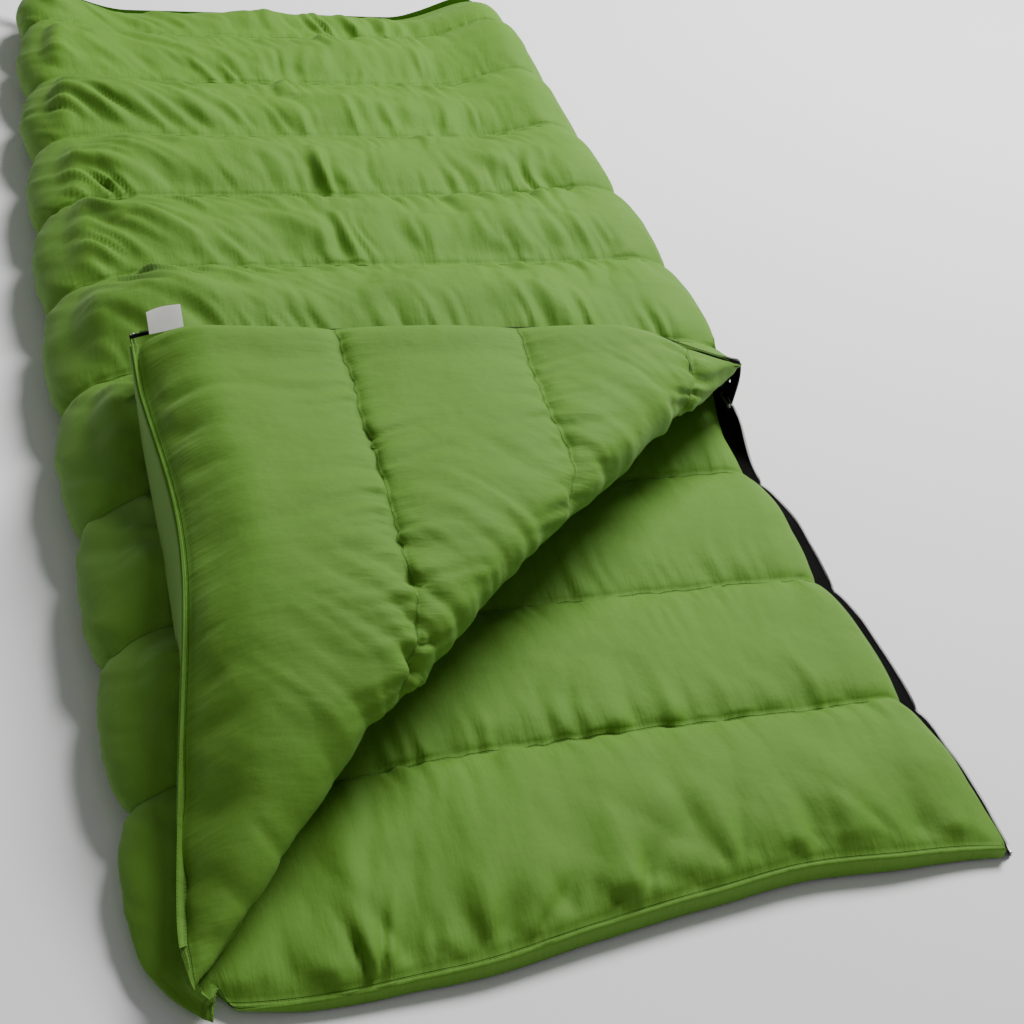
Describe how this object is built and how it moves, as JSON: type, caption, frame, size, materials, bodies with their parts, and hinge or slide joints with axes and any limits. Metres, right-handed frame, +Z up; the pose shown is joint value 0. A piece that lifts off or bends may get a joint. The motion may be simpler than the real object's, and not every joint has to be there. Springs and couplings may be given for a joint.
{
  "type": "rectangular sleeping bag",
  "caption": "Rectangular quilted down sleeping bag, lying open with one corner of its top panel folded back, and a two-way zip along one side and across the foot.",
  "frame": {"origin": "on the floor, at the middle of the underside of the fifth chamber from the head end", "axes": "+X across the bag towards the zip side, +Y from the head end to the foot end, +Z up"},
  "size_m": [0.8906, 2.1354, 0.2149],
  "materials": {
    "shell_cotton": "downproof green cotton, close plain weave, soft sheen",
    "lining_cotton": "downproof green cotton, close plain weave, soft sheen",
    "down": "loose white down clusters",
    "baffle_mesh": "fine white netting",
    "zip_tape": "black woven polyester tape",
    "zip_coil": "black nylon coil",
    "black_metal": "black painted die-cast zinc",
    "bare_metal": "dull nickel-plated metal",
    "label": "plain white satin ribbon with no print"
  },
  "bodies": {
    "bag": {"bottom_down_01": "down", "bottom_down_02": "down", "bottom_down_03": "down", "bottom_down_04": "down", "bottom_down_05": "down", "bottom_down_06": "down", "bottom_down_07": "down", "bottom_down_08": "down", "bottom_down_09": "down", "bottom_down_10": "down", "top_down_01": "down", "top_down_02": "down", "top_down_03": "down", "top_down_04": "down", "top_down_05": "down", "top_down_06": "down", "top_down_07": "down", "top_down_08": "down", "top_down_09": "down", "top_down_10": "down", "bottom_shell": "shell_cotton", "bottom_lining": "lining_cotton", "top_shell": "shell_cotton", "top_lining": "lining_cotton", "bottom_baffle_walls": "baffle_mesh", "top_baffle_walls": "baffle_mesh", "side_block_baffle": "baffle_mesh", "head_hem": "shell_cotton", "bottom_foot_hem": "shell_cotton", "top_foot_hem": "shell_cotton", "lower_zip_tape": "zip_tape", "upper_zip_tape": "zip_tape", "lower_zip_coil": "zip_coil", "upper_zip_coil": "zip_coil", "lower_top_stop": "bare_metal", "box_pin": "bare_metal", "insertion_pin": "bare_metal"},
    "flap": {"flap_down_01": "down", "flap_down_02": "down", "flap_down_03": "down", "flap_down_04": "down", "flap_shell": "shell_cotton", "flap_lining": "lining_cotton", "flap_baffle_walls": "baffle_mesh", "flap_head_hem": "shell_cotton", "flap_zip_tape": "zip_tape", "flap_zip_coil": "zip_coil", "flap_top_stop": "bare_metal", "care_label": "label"},
    "head_slider": {"head_slider": "black_metal"},
    "head_outer_pull": {"head_slider_outer_pull": "black_metal"},
    "head_inner_pull": {"head_slider_inner_pull": "bare_metal"},
    "foot_slider": {"foot_slider": "black_metal"},
    "foot_pull": {"foot_slider_pull": "bare_metal"}
  },
  "joints": [
    {"name": "flap_fold", "type": "hinge", "parent": "bag", "child": "flap", "pos_m": [-0.349, -0.9585, 0.1425], "axis": [0.715, 0.6991, 0], "range_deg": [0, 180]},
    {"name": "head_slider_travel", "type": "slide", "parent": "bag", "child": "head_slider", "axis": [0, 1, 0], "range_m": [0, 1.26]},
    {"name": "head_outer_pull_swing", "type": "hinge", "parent": "head_slider", "child": "head_outer_pull", "pos_m": [0.4194, -0.1535, 0.071], "axis": [0, 0, -1], "range_deg": [0, 180]},
    {"name": "head_inner_pull_swing", "type": "hinge", "parent": "head_slider", "child": "head_inner_pull", "pos_m": [0.4086, -0.1535, 0.071], "axis": [0, 0, -1], "range_deg": [0, 180]},
    {"name": "foot_slider_travel", "type": "slide", "parent": "bag", "child": "foot_slider", "axis": [1, 0, 0], "range_m": [0, 0.72]},
    {"name": "foot_pull_swing", "type": "hinge", "parent": "foot_slider", "child": "foot_pull", "pos_m": [-0.424, 1.1709, 0.071], "axis": [0, 0, -1], "range_deg": [0, 180]}
  ]
}
